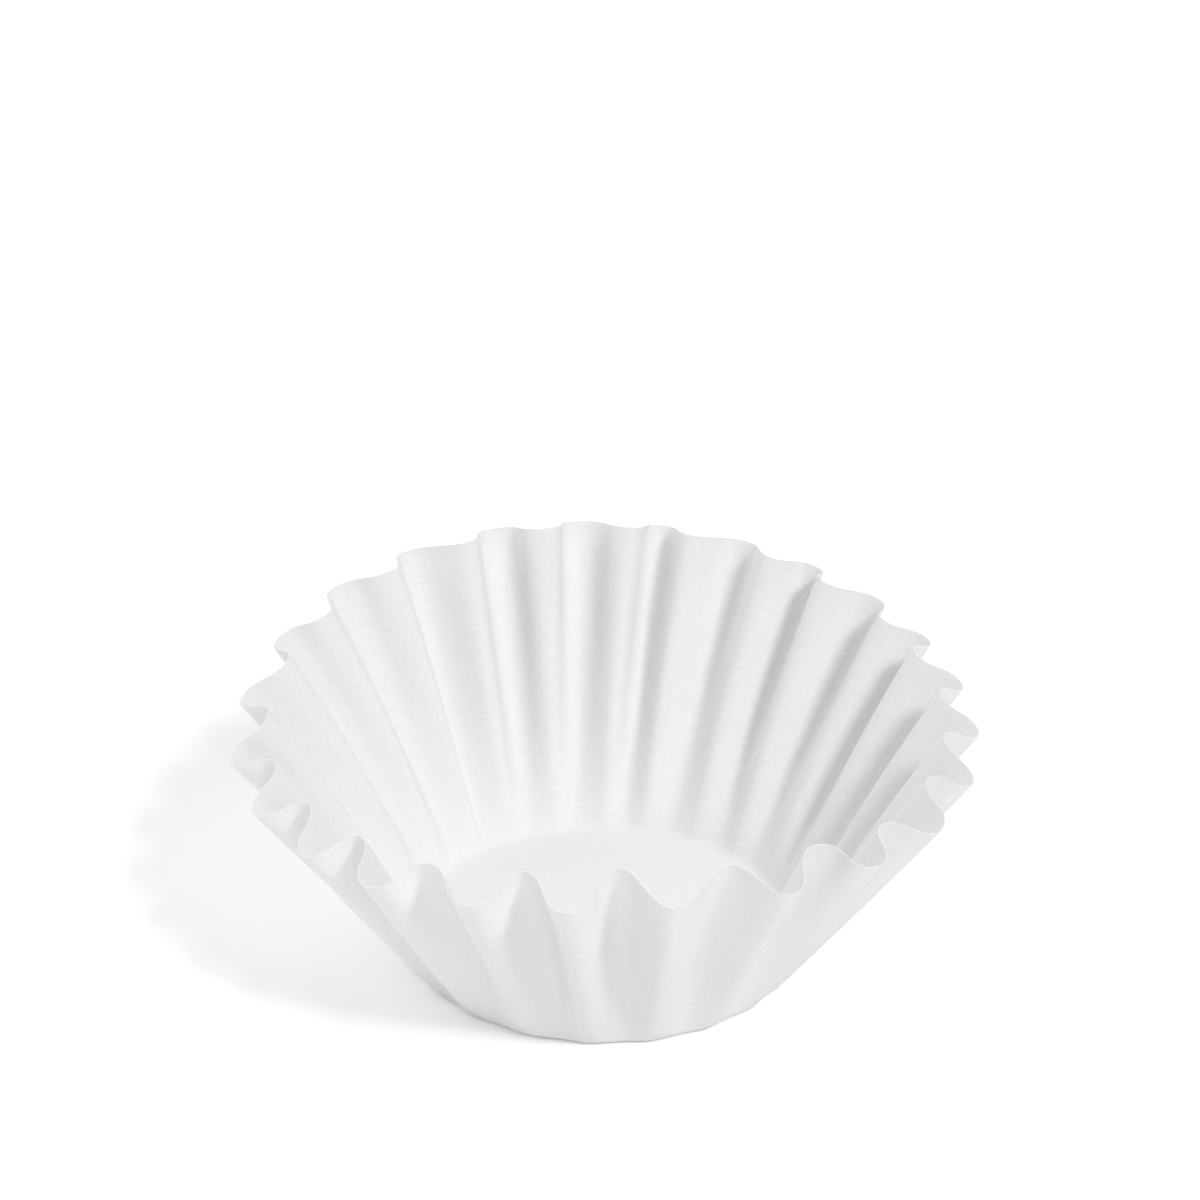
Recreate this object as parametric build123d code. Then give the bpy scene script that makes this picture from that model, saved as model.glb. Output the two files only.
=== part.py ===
"""Flat-bottomed paper basket coffee filter, standing open.

One disc of thin creped paper. Its middle stays flat and is what the filter
stands on. The rest is turned up round a small rounded corner into a wall that
is gathered in flutes, because the sheet is longer round its edge than the wall
is. Each flute has a crest, which stands out of the wall, and a fold, which
stands in from it. Both grow from nothing at the base, the folds sooner than the
crests, and between them the paper runs straight.

Millimetres and degrees. The origin is on the table under the middle of the
flat bottom, +Z is up. A bearing is counted from the back (+Y) towards the
right (+X), as on a compass seen from above.
"""
from build123d import *
from math import cos, pi, radians, sin, tan
import os

# Sheet
BASE_DIAMETER = 84.0
WALL_LENGTH = 66.0
PAPER = 0.2

# Wall, as a mean through the flutes
WALL_SLOPE = 61.0
CORNER_RADIUS = 2.5

# How far this one stands from a true cone: swing in degrees or mm, and its bearing
LEAN, LEAN_BEARING = 2.5, 0.0
OVAL_SLOPE, OVAL_SLOPE_BEARING = 1.2, -17.0
LOBED_SLOPE, LOBED_SLOPE_BEARING = 1.6, 60.0
SHEET_SHIFT, SHEET_SHIFT_BEARING = 0.8, -22.0
SHEET_OVAL, SHEET_OVAL_BEARING = 1.2, -12.0

# Flutes at the rim. Crest: bearing, mm out of the wall, fullness of the flank after
# it. Fold: bearing, mm into the wall, fullness of the flank after it. A flank of
# fullness 0 is a plain slope, and one of fullness 1 stands straight across the wall.
# Last, the degrees by which the flute has swung round where it reaches the base.
FLUTES = [
    ((-4.5, 4.0, 0.5), (4.0, 5.5, 0.9), -3.5),
    ((9.0, 4.0, 0.5), (15.5, 5.5, 0.4), -3.5),
    ((23.3, 3.5, 0.4), (32.0, 5.5, 0.8), -4.0),
    ((37.3, 2.5, 0.8), (45.0, 5.5, 0.7), -2.5),
    ((51.5, 4.0, 0.4), (60.0, 3.5, 0.8), -3.0),
    ((65.0, 4.5, 0.9), (71.5, 3.5, 0.9), -3.0),
    ((79.0, 4.5, 0.9), (84.5, 3.0, 0.7), -3.0),
    ((92.5, 4.5, 0.9), (98.5, 4.0, 0.5), -3.0),
    ((106.5, 4.5, 0.8), (112.0, 4.5, 0.7), -3.0),
    ((121.0, 4.5, 0.5), (129.0, 4.0, 0.6), -3.0),
    ((135.0, 4.0, 1.0), (143.5, 5.5, 0.5), -3.0),
    ((151.5, 4.5, 0.3), (158.8, 5.0, 0.2), -2.5),
    ((170.0, 4.0, 0.1), (177.0, 6.0, 1.0), -3.5),
    ((186.0, 4.5, 0.4), (193.0, 5.0, 0.6), -2.0),
    ((200.5, 4.5, 0.4), (209.0, 4.0, 0.9), 1.0),
    ((216.5, 4.8, 0.6), (223.5, 5.5, 0.2), 4.0),
    ((229.0, 4.5, 0.5), (237.0, 5.5, 0.5), 6.0),
    ((243.0, 4.5, 0.7), (251.0, 5.0, 0.5), 8.0),
    ((257.0, 4.5, 1.0), (266.0, 4.6, 0.6), 9.0),
    ((273.0, 3.5, 0.5), (281.0, 4.5, 0.7), 9.0),
    ((290.0, 3.0, 0.8), (297.5, 4.5, 0.1), 8.0),
    ((307.0, 4.0, 0.7), (316.0, 4.5, 0.5), 3.5),
    ((324.0, 4.5, 0.3), (332.5, 5.5, 0.8), -2.0),
    ((340.5, 4.5, 0.9), (348.0, 6.0, 0.9), -3.0),
]
CREST_HEAD_START = 0.2  # 0 lets a crest grow evenly up the wall, more starts it sooner
FOLD_HEAD_START = 1.2   # the same for a fold
FLANK_BEND = 0.22       # share of a flank taken by the rounded bend at each of its ends
RIM_DIP = 0.8           # how far a fold draws the rim down

# The paper's two faces are carried on flat facets between rings: share of the corner's
# turn, share of the wall. Each flank of a flute is so many facets wide.
RINGS = [(0.0, 0.0), (0.5, 0.0), (1.0, 0.0), (1.0, 0.15), (1.0, 0.4), (1.0, 0.7), (1.0, 1.0)]
FLANK_STEPS = 8


def swing(amount, lobes, bearing, peak):
    """A smooth swing round the wall with so many lobes, the first at the peak bearing."""
    return amount * cos(radians(lobes * (bearing - peak)))


def wall_slope(bearing):
    return (
        WALL_SLOPE
        + swing(LEAN, 1, bearing, LEAN_BEARING)
        + swing(OVAL_SLOPE, 2, bearing, OVAL_SLOPE_BEARING)
        + swing(LOBED_SLOPE, 3, bearing, LOBED_SLOPE_BEARING)
    )


def straight_wall(bearing):
    """Paper between the end of the corner and the rim."""
    sheet = (
        WALL_LENGTH
        + swing(SHEET_SHIFT, 1, bearing, SHEET_SHIFT_BEARING)
        + swing(SHEET_OVAL, 2, bearing, SHEET_OVAL_BEARING)
    )
    return sheet - corner_setback()


def corner_setback():
    """From the sharp edge where bottom and wall would meet to where the corner starts."""
    return CORNER_RADIUS * tan(radians(WALL_SLOPE) / 2)


def wall_share(turn, climb):
    """How far up this ring lies, from 0 at the start of the corner to 1 at the rim."""
    corner = CORNER_RADIUS * radians(WALL_SLOPE)
    wall = WALL_LENGTH - corner_setback()
    return (turn * corner + climb * wall) / (corner + wall)


def growth(share, head_start):
    """Share of its depth at the rim that a crest or a fold has here."""
    return share * (1 + head_start * (1 - share))


def flank_way(along):
    """Way across a flank, from 0 to 1: straight between a rounded bend at each end."""
    steepness = 1 / (1 - FLANK_BEND)
    if along < FLANK_BEND:
        return steepness * along**2 / (2 * FLANK_BEND)
    if along > 1 - FLANK_BEND:
        return 1 - steepness * (1 - along) ** 2 / (2 * FLANK_BEND)
    return steepness * (along - FLANK_BEND / 2)


def mid_paper(start, end, along, turn, climb):
    """Point in the middle of the paper, part of the way along the flank from start to
    end, each a bearing, a stand-off (less than 0 for a fold), a fullness and a swing."""
    share = wall_share(turn, climb)
    crest_growth = growth(share, CREST_HEAD_START)
    fold_growth = growth(share, FOLD_HEAD_START)
    way = flank_way(along)
    near_fold = way if end[1] < 0 else 1 - way
    crest, fold = (start, end) if end[1] < 0 else (end, start)
    stand_off = crest[1] * crest_growth * (1 - near_fold) + fold[1] * fold_growth * near_fold
    roll = start[2] * share * sin(2 * pi * along) / (2 * pi)
    bearing = start[0] + (end[0] - start[0]) * (along + roll)
    bearing += (start[3] + (end[3] - start[3]) * along) * (1 - share)

    slope = radians(wall_slope(bearing))
    tilt = slope * turn
    wall = (straight_wall(bearing) - RIM_DIP * near_fold) * climb
    flat_radius = BASE_DIAMETER / 2 - corner_setback()
    radius = flat_radius + CORNER_RADIUS * sin(tilt) + wall * cos(slope) + stand_off * sin(tilt)
    height = CORNER_RADIUS * (1 - cos(tilt)) + wall * sin(slope) - stand_off * cos(tilt)
    return Vector(
        radius * sin(radians(bearing)),
        radius * cos(radians(bearing)),
        height + PAPER / 2,
    )


def outward(start, end, along, turn, climb):
    """Unit normal of the paper, out of the cup. The flat bottom faces straight down."""
    if turn == 0:
        return Vector(0, 0, -1)
    step = 0.001
    round_wall = mid_paper(start, end, along + step, turn, climb)
    round_wall -= mid_paper(start, end, along - step, turn, climb)
    up_wall = mid_paper(start, end, along, turn, climb)
    if climb > 0:
        up_wall -= mid_paper(start, end, along, turn, climb - step)
    else:
        up_wall -= mid_paper(start, end, along, turn - step, climb)
    return up_wall.cross(round_wall).normalized()


def ring(turn, climb, side):
    """Facet corners round the cup on one face of the paper: side 1 outside, -1 inside."""
    corners = []
    for number, (crest, fold, swung) in enumerate(FLUTES):
        last = number == len(FLUTES) - 1
        next_crest, _, next_swung = FLUTES[0] if last else FLUTES[number + 1]
        opening = (*crest, swung)
        inward = (fold[0], -fold[1], fold[2], swung)
        closing = (next_crest[0] + (360 if last else 0), *next_crest[1:], next_swung)
        for start, end in ((opening, inward), (inward, closing)):
            for step in range(FLANK_STEPS):
                along = step / FLANK_STEPS
                to_skin = outward(start, end, along, turn, climb) * (side * PAPER / 2)
                corners.append(mid_paper(start, end, along, turn, climb) + to_skin)
    return corners


def facet(*corners):
    return Face(Wire.make_polygon(corners, close=True))


def band(lower, upper):
    """Two facets between each corner and the next on a pair of rings. They are split so
    that the flanks on both sides of a crest mirror each other."""
    facets = []
    for number in range(len(lower)):
        following = (number + 1) % len(lower)
        if (number // FLANK_STEPS) % 2 == 0:
            facets.append(facet(lower[number], upper[number], lower[following]))
            facets.append(facet(lower[following], upper[number], upper[following]))
        else:
            facets.append(facet(lower[number], upper[number], upper[following]))
            facets.append(facet(lower[number], upper[following], lower[following]))
    return facets


outside = [ring(turn, climb, 1) for turn, climb in RINGS]
inside = [ring(turn, climb, -1) for turn, climb in RINGS]
paper = [facet(*outside[0]), facet(*inside[0])]
for skin in (outside, inside):
    for lower, upper in zip(skin, skin[1:]):
        paper += band(lower, upper)
paper += band(outside[-1], inside[-1])
paper_filter = Solid(Shell(paper))
paper_filter.label = "paper_filter"

sheet_diameter = BASE_DIAMETER + 2 * WALL_LENGTH
rim = outside[-1]
rim_length = sum((after - before).length for before, after in zip(rim, rim[1:] + rim[:1]))
print(f"sheet before pressing: {sheet_diameter:.0f} across, {pi * sheet_diameter:.0f} round")
print(f"paper round the fluted rim: {rim_length:.0f}")
print(f"facets: {len(paper)}")

os.makedirs("parts", exist_ok=True)
export_step(paper_filter, "parts/paper_filter.step")
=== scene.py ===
# %% [markdown]
# # A paper basket filter
# The thing is one disc of thin white filter paper. A die presses its rim up into a
# fluted wall and leaves its middle flat. This file makes it the way the press does: a
# flat disc first, then the pressing, then the paper's thickness, its finish and a
# small studio. All lengths are metres, in the same frame as the solid model: the origin
# is on the table under the middle of the bottom, +Z is up and -Y is the near side.

# %% The solid model that everything is built round
import bpy
from math import cos, pi, radians, sin, tan
from mathutils import Matrix, Vector


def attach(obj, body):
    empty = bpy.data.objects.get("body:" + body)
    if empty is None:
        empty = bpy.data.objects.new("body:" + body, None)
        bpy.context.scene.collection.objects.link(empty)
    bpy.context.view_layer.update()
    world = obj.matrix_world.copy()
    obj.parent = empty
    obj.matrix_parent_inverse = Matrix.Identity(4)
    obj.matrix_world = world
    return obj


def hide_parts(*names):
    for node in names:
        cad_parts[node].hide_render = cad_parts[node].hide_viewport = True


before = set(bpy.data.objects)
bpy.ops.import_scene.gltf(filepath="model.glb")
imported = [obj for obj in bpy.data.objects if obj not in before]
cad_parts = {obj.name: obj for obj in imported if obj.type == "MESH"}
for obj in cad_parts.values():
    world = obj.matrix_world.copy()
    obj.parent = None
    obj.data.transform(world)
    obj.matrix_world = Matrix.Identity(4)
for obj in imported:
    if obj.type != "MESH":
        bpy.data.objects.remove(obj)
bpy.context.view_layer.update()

# %% [markdown]
# ## The sheet
# A few sizes drive the whole piece: how wide the flat bottom is, how much paper is
# left for the wall, and how steeply the wall stands. They are the solid model's own
# sizes, so that the two agree.

# %% Sizes of the sheet and of the pressed shape
MM = 0.001
BASE_DIAMETER = 84 * MM
WALL_LENGTH = 66 * MM
PAPER = 0.2 * MM
CORNER_RADIUS = 2.5 * MM
WALL_SLOPE = radians(61)

corner_setback = CORNER_RADIUS * tan(WALL_SLOPE / 2)
flat_radius = BASE_DIAMETER / 2 - corner_setback
corner_length = CORNER_RADIUS * WALL_SLOPE
wall_length = WALL_LENGTH - corner_setback
print("sheet before pressing:", round((BASE_DIAMETER + 2 * WALL_LENGTH) / MM), "mm across")

# %% [markdown]
# ## The flat disc
# A press starts from a flat disc, and so does the mesh. A circle is added, and its edge
# is extruded outwards ring by ring. Each new ring is scaled to the radius where it
# will be needed: three rings on the flat bottom, close rings where the paper will turn
# the small corner, and even rings up the wall. A grid from the start would not do,
# because the flutes run straight out from the middle, and so must the edge loops. The
# last ring is the cut edge of the paper. It is marked sharp and creased, so that it
# stays crisp when the rest is rounded.

# %% Draw the disc, ring by ring
COLUMNS = 384
BOTTOM_RINGS = [6 * MM, 18 * MM, 30 * MM, flat_radius]
CORNER_RINGS = 4
WALL_RINGS = 20


def even_rings(start, length, count):
    return [start + length * ring / count for ring in range(1, count + 1)]


radii = BOTTOM_RINGS + even_rings(flat_radius, corner_length, CORNER_RINGS)
radii += even_rings(radii[-1], wall_length, WALL_RINGS)

bpy.ops.object.select_all(action="DESELECT")
bpy.ops.mesh.primitive_circle_add(vertices=COLUMNS, radius=radii[0], fill_type="NGON")
sheet = bpy.context.object
sheet.name = "filter_sheet"
bpy.ops.object.mode_set(mode="EDIT")
bpy.ops.mesh.select_mode(type="EDGE")
bpy.ops.mesh.select_all(action="SELECT")
bpy.ops.mesh.region_to_loop()
for inner, outer in zip(radii, radii[1:]):
    bpy.ops.mesh.extrude_edges_move()
    bpy.ops.transform.resize(value=(outer / inner, outer / inner, 1))
bpy.ops.mesh.mark_sharp()
bpy.ops.transform.edge_crease(value=1)
bpy.ops.mesh.select_all(action="SELECT")
bpy.ops.mesh.normals_make_consistent(inside=False)
bpy.ops.object.mode_set(mode="OBJECT")
print("flat disc:", len(sheet.data.vertices), "points,", len(sheet.data.polygons), "faces")

# %% [markdown]
# ## A map of the flat sheet
# Paper grain belongs to the sheet, so it has to turn up the wall with it. While the
# disc is still flat, its own plan is kept as a UV map, and every later pattern reads
# that map.

# %% Keep the flat plan as a UV map, in metres
plan = sheet.data.uv_layers.new(name="sheet")
for loop in sheet.data.loops:
    plan.data[loop.index].uv = sheet.data.vertices[loop.vertex_index].co.xy
print("map covers", round(2 * radii[-1] / MM), "mm")

# %% [markdown]
# ## The flutes
# A flute is a crest, which stands out of the wall, and a fold, which stands in from it.
# No two are alike on paper that has been pressed in a stack and then opened by hand, so
# each has its own bearing and depth, and they are a short list. Bearings are in degrees
# from the back, clockwise as seen from above.
#
# A row gives the crest, then the fold: its bearing at the rim, how many millimetres it
# stands out of or into the wall, and how full the flank after it is. A flank of fullness
# 0 is a plain slope, and one of fullness 1 stands straight across the wall. The last
# number says how many degrees the flute has swung round where it reaches the base.

# %% The list of flutes
FLUTES = [
    ((-4.5, 4.0, 0.5), (4.0, 5.5, 0.9), -3.5),
    ((9.0, 4.0, 0.5), (15.5, 5.5, 0.4), -3.5),
    ((23.3, 3.5, 0.4), (32.0, 5.5, 0.8), -4.0),
    ((37.3, 2.5, 0.8), (45.0, 5.5, 0.7), -2.5),
    ((51.5, 4.0, 0.4), (60.0, 3.5, 0.8), -3.0),
    ((65.0, 4.5, 0.9), (71.5, 3.5, 0.9), -3.0),
    ((79.0, 4.5, 0.9), (84.5, 3.0, 0.7), -3.0),
    ((92.5, 4.5, 0.9), (98.5, 4.0, 0.5), -3.0),
    ((106.5, 4.5, 0.8), (112.0, 4.5, 0.7), -3.0),
    ((121.0, 4.5, 0.5), (129.0, 4.0, 0.6), -3.0),
    ((135.0, 4.0, 1.0), (143.5, 5.5, 0.5), -3.0),
    ((151.5, 4.5, 0.3), (158.8, 5.0, 0.2), -2.5),
    ((170.0, 4.0, 0.1), (177.0, 6.0, 1.0), -3.5),
    ((186.0, 4.5, 0.4), (193.0, 5.0, 0.6), -2.0),
    ((200.5, 4.5, 0.4), (209.0, 4.0, 0.9), 1.0),
    ((216.5, 4.8, 0.6), (223.5, 5.5, 0.2), 4.0),
    ((229.0, 4.5, 0.5), (237.0, 5.5, 0.5), 6.0),
    ((243.0, 4.5, 0.7), (251.0, 5.0, 0.5), 8.0),
    ((257.0, 4.5, 1.0), (266.0, 4.6, 0.6), 9.0),
    ((273.0, 3.5, 0.5), (281.0, 4.5, 0.7), 9.0),
    ((290.0, 3.0, 0.8), (297.5, 4.5, 0.1), 8.0),
    ((307.0, 4.0, 0.7), (316.0, 4.5, 0.5), 3.5),
    ((324.0, 4.5, 0.3), (332.5, 5.5, 0.8), -2.0),
    ((340.5, 4.5, 0.9), (348.0, 6.0, 0.9), -3.0),
]
CREST_HEAD_START = 0.2
FOLD_HEAD_START = 1.2
FLANK_BEND = 0.22
RIM_DIP = 0.8 * MM

turns = []
for crest, fold, swung in FLUTES:
    turns.append((*crest, swung))
    turns.append((fold[0], -fold[1], fold[2], swung))
turns.append((turns[0][0] + 360, *turns[0][1:]))
print(len(FLUTES), "flutes")

# %% [markdown]
# ## How far this one stands from a true cone
# The photo's filter leans a little and is not quite round, because nothing holds the
# paper. Three slow swings of the wall's slope, in degrees, and two of its length, in
# millimetres, carry that. Each has its size and the bearing where it is largest.

# %% The wall's slope and length at a bearing
LEAN, LEAN_BEARING = 2.5, 0
OVAL_SLOPE, OVAL_SLOPE_BEARING = 1.2, -17
LOBED_SLOPE, LOBED_SLOPE_BEARING = 1.6, 60
SHEET_SHIFT, SHEET_SHIFT_BEARING = 0.8, -22
SHEET_OVAL, SHEET_OVAL_BEARING = 1.2, -12


def swing(amount, lobes, bearing, peak):
    return amount * cos(radians(lobes * (bearing - peak)))


def wall_slope(bearing):
    return WALL_SLOPE + radians(
        swing(LEAN, 1, bearing, LEAN_BEARING)
        + swing(OVAL_SLOPE, 2, bearing, OVAL_SLOPE_BEARING)
        + swing(LOBED_SLOPE, 3, bearing, LOBED_SLOPE_BEARING)
    )


def straight_wall(bearing):
    return wall_length + MM * (
        swing(SHEET_SHIFT, 1, bearing, SHEET_SHIFT_BEARING)
        + swing(SHEET_OVAL, 2, bearing, SHEET_OVAL_BEARING)
    )


for side, bearing in (("back", 0), ("front", 180)):
    print("slope at the", side, round(wall_slope(bearing) / radians(1), 1), "degrees")

# %% [markdown]
# ## Pressing
# Each point of the disc is moved to where the die would take it. Its distance from the
# middle says how far it has gone round the corner and up the wall, and the bearing at
# which it was drawn says which flank it lies on. Thin paper bends sharply and stays
# straight between its bends, so a flank is straight with a short rounded bend at each
# end. Crests grow almost evenly from the corner to the rim. Folds are deep sooner, and
# each draws the rim down a little.
#
# A loop over the points does this, because every flank turns about a line of its own,
# and no modifier or edit-mode operator folds 48 of them at once.

# %% Press the disc
def growth(share, head_start):
    return share * (1 + head_start * (1 - share))


def flank_way(along):
    steepness = 1 / (1 - FLANK_BEND)
    if along < FLANK_BEND:
        return steepness * along**2 / (2 * FLANK_BEND)
    if along > 1 - FLANK_BEND:
        return 1 - steepness * (1 - along) ** 2 / (2 * FLANK_BEND)
    return steepness * (along - FLANK_BEND / 2)


def pressed(point):
    reach = point.xy.length
    past_flat = max(reach - flat_radius, 0)
    turn = min(past_flat / corner_length, 1)
    climb = max((past_flat - corner_length) / wall_length, 0)
    share = past_flat / (corner_length + wall_length)

    drawn = Vector((0, 1)).angle_signed(point.xy) / radians(1)
    drawn = (drawn - turns[0][0]) % 360 + turns[0][0]
    start, end = next(pair for pair in zip(turns, turns[1:]) if drawn <= pair[1][0])
    along = (drawn - start[0]) / (end[0] - start[0])
    way = flank_way(along)
    crest, fold, near_fold = (start, end, way) if end[1] < 0 else (end, start, 1 - way)
    stand_off = MM * crest[1] * growth(share, CREST_HEAD_START) * (1 - near_fold)
    stand_off += MM * fold[1] * growth(share, FOLD_HEAD_START) * near_fold
    roll = start[2] * share * sin(2 * pi * along) / (2 * pi)
    bearing = start[0] + (end[0] - start[0]) * (along + roll)
    bearing += (start[3] + (end[3] - start[3]) * along) * (1 - share)

    slope = wall_slope(bearing)
    tilt = slope * turn
    wall = (straight_wall(bearing) - RIM_DIP * near_fold) * climb
    flat = min(reach, flat_radius)
    radius = flat + CORNER_RADIUS * sin(tilt) + wall * cos(slope) + stand_off * sin(tilt)
    height = CORNER_RADIUS * (1 - cos(tilt)) + wall * sin(slope) - stand_off * cos(tilt)
    return Vector(
        (radius * sin(radians(bearing)), radius * cos(radians(bearing)), height + PAPER / 2)
    )


for vertex in sheet.data.vertices:
    vertex.co = pressed(vertex.co)
sheet.data.update()
print("pressed height:", round(max(v.co.z for v in sheet.data.vertices) / MM, 1), "mm")

# %% [markdown]
# ## Thickness
# Up to here the sheet has no thickness, and lies in the middle of the paper. Solidify
# gives it its two faces and its cut edge at the rim, half the thickness to each side,
# and one level of Subdivision Surface rounds the bends but not the creased rim. The cut
# edge then catches the light as the thin bright line that the photo shows. Both are
# applied, so that the finished piece is plain mesh.

# %% Give the paper its thickness and smooth it
def apply_modifier(piece, kind, **settings):
    bpy.ops.object.select_all(action="DESELECT")
    piece.select_set(True)
    bpy.context.view_layer.objects.active = piece
    modifier = piece.modifiers.new(kind.lower(), kind)
    for name, value in settings.items():
        setattr(modifier, name, value)
    bpy.ops.object.modifier_apply(modifier=modifier.name)


apply_modifier(sheet, "SOLIDIFY", thickness=PAPER, offset=0, use_even_offset=True)
apply_modifier(sheet, "SUBSURF", levels=1, render_levels=1, use_limit_surface=False)
bpy.ops.object.shade_smooth()
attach(sheet, "root")
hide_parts("paper_filter")
print("filter sheet:", len(sheet.data.polygons), "faces")

# %% [markdown]
# ## The paper's finish
# Filter paper is matt and white, but not as white as the studio floor. Its fibres lie
# thicker in some places than in others, which shows as a fine cloud, and its face has a
# tooth from the wire that it was made on. The cloud goes to the colour and the tooth
# goes to the bump. Both read the flat map, so they turn up the wall with the paper. The
# map is in metres, so a scale of 900 makes blotches a little over a millimetre wide.

# %% The paper material
CLOUD_SCALE = 900
TOOTH_SCALE = 1800
TOOTH_DEPTH = 0.05 * MM
THIN_PAPER = (0.80, 0.80, 0.798, 1)
THICK_PAPER = (0.94, 0.94, 0.937, 1)


def node(tree, kind, **settings):
    made = tree.nodes.new(kind)
    for name, value in settings.items():
        setattr(made, name, value)
    return made


paper = bpy.data.materials.new("filter_paper")
paper.use_nodes = True
tree = paper.node_tree
shader = tree.nodes["Principled BSDF"]
shader.inputs["Roughness"].default_value = 0.95
shader.inputs["Specular IOR Level"].default_value = 0.15

flat_map = node(tree, "ShaderNodeUVMap", uv_map="sheet")
cloud = node(tree, "ShaderNodeTexNoise")
cloud.inputs["Scale"].default_value = CLOUD_SCALE
cloud.inputs["Detail"].default_value = 4
cloud.inputs["Roughness"].default_value = 0.7
tree.links.new(flat_map.outputs["UV"], cloud.inputs["Vector"])
cloud_colour = node(tree, "ShaderNodeMix", data_type="RGBA")
cloud_colour.inputs["A"].default_value = THIN_PAPER
cloud_colour.inputs["B"].default_value = THICK_PAPER
tree.links.new(cloud.outputs["Fac"], cloud_colour.inputs["Factor"])
tree.links.new(cloud_colour.outputs["Result"], shader.inputs["Base Color"])

tooth = node(tree, "ShaderNodeTexNoise")
tooth.inputs["Scale"].default_value = TOOTH_SCALE
tooth.inputs["Detail"].default_value = 4
tree.links.new(flat_map.outputs["UV"], tooth.inputs["Vector"])
bump = node(tree, "ShaderNodeBump")
bump.inputs["Strength"].default_value = 0.35
bump.inputs["Distance"].default_value = TOOTH_DEPTH
tree.links.new(tooth.outputs["Fac"], bump.inputs["Height"])
tree.links.new(bump.outputs["Normal"], shader.inputs["Normal"])
sheet.data.materials.clear()
sheet.data.materials.append(paper)
print("paper material:", len(tree.nodes), "nodes")

# %% [markdown]
# ## The floor
# The photo's floor is white and keeps a soft shadow on the left. More light would make
# it white too, but it would also wash out the paper. So the light stays low, and the
# floor's own material adds a little white for the camera alone.

# %% A white floor that keeps its shadow
FLOOR_RADIUS = 6
CAMERA_LIFT = 0.14

bpy.ops.object.select_all(action="DESELECT")
bpy.ops.mesh.primitive_circle_add(vertices=96, radius=FLOOR_RADIUS, fill_type="NGON")
floor = bpy.context.object
floor.name = "floor"
ground = bpy.data.materials.new("pale_floor")
ground.use_nodes = True
ground_tree = ground.node_tree
ground_shader = ground_tree.nodes["Principled BSDF"]
ground_shader.inputs["Base Color"].default_value = (0.97, 0.97, 0.97, 1)
ground_shader.inputs["Roughness"].default_value = 1
ground_shader.inputs["Specular IOR Level"].default_value = 0
ground_shader.inputs["Emission Color"].default_value = (1, 1, 1, 1)
ray = node(ground_tree, "ShaderNodeLightPath")
lift = node(ground_tree, "ShaderNodeMath", operation="MULTIPLY")
lift.inputs[1].default_value = CAMERA_LIFT
ground_tree.links.new(ray.outputs["Is Camera Ray"], lift.inputs[0])
ground_tree.links.new(lift.outputs["Value"], ground_shader.inputs["Emission Strength"])
floor.data.materials.append(ground)
print("floor:", round(floor.dimensions.x), "m across")

# %% [markdown]
# ## The lamps
# One lamp shapes the flutes: a key on the right, in front of the paper and halfway up
# the sky. It is 12 degrees wide, so its shadows have soft edges, and the flanks that
# face away from it make the dark strips of the back wall. Three very wide, weaker lamps
# and a dim white world stand for the white walls of a studio. Each lamp is a sun, because
# a sun lights the whole floor evenly. Its place is a bearing and a height above the
# horizon, both in degrees.

# %% World and lamps
world = bpy.data.worlds.new("studio")
bpy.context.scene.world = world
world.use_nodes = True
sky = world.node_tree.nodes["Background"]
sky.inputs["Color"].default_value = (1, 1, 1, 1)
sky.inputs["Strength"].default_value = 0.3


def sun(name, bearing, elevation, strength, spread):
    light = bpy.data.lights.new(name, "SUN")
    light.energy = strength
    light.angle = radians(spread)
    lamp = bpy.data.objects.new(name, light)
    turn, rise = radians(bearing), radians(elevation)
    towards = Vector((sin(turn) * cos(rise), cos(turn) * cos(rise), sin(rise)))
    lamp.rotation_euler = towards.to_track_quat("Z", "Y").to_euler()
    bpy.context.scene.collection.objects.link(lamp)


sun("key", bearing=140, elevation=47, strength=1.35, spread=12)
sun("back_light", bearing=10, elevation=48, strength=1.0, spread=80)
sun("left_fill", bearing=285, elevation=26, strength=1.0, spread=60)
sun("front_fill", bearing=175, elevation=18, strength=0.45, spread=50)
print("lamps:", [light.name for light in bpy.data.lights])

# %% [markdown]
# ## The camera
# The photo looks down into the cup and has hardly any perspective. So the camera stands
# about 1.3 m off and looks 30 degrees down through a long lens. It is also rolled by
# less than a degree, as the photo is.

# %% Camera
CAMERA_PLACE = Vector((-1.52, -1078.77, 705.45)) * MM
LOOKING_DOWN = radians(29.994)
CAMERA_ROLL = 0.01211
lens = bpy.data.cameras.new("camera")
lens.lens = 180
lens.sensor_width = 36
camera = bpy.data.objects.new("camera", lens)
pitch = Matrix.Rotation(pi / 2 - LOOKING_DOWN, 3, "X")
roll = Matrix.Rotation(CAMERA_ROLL, 3, "Z")
camera.rotation_euler = (pitch @ roll).to_euler()
camera.location = CAMERA_PLACE
bpy.context.scene.collection.objects.link(camera)
bpy.context.scene.camera = camera
bpy.context.scene.view_settings.view_transform = "Standard"
print("camera", round(CAMERA_PLACE.length, 2), "m from the middle of the bottom")
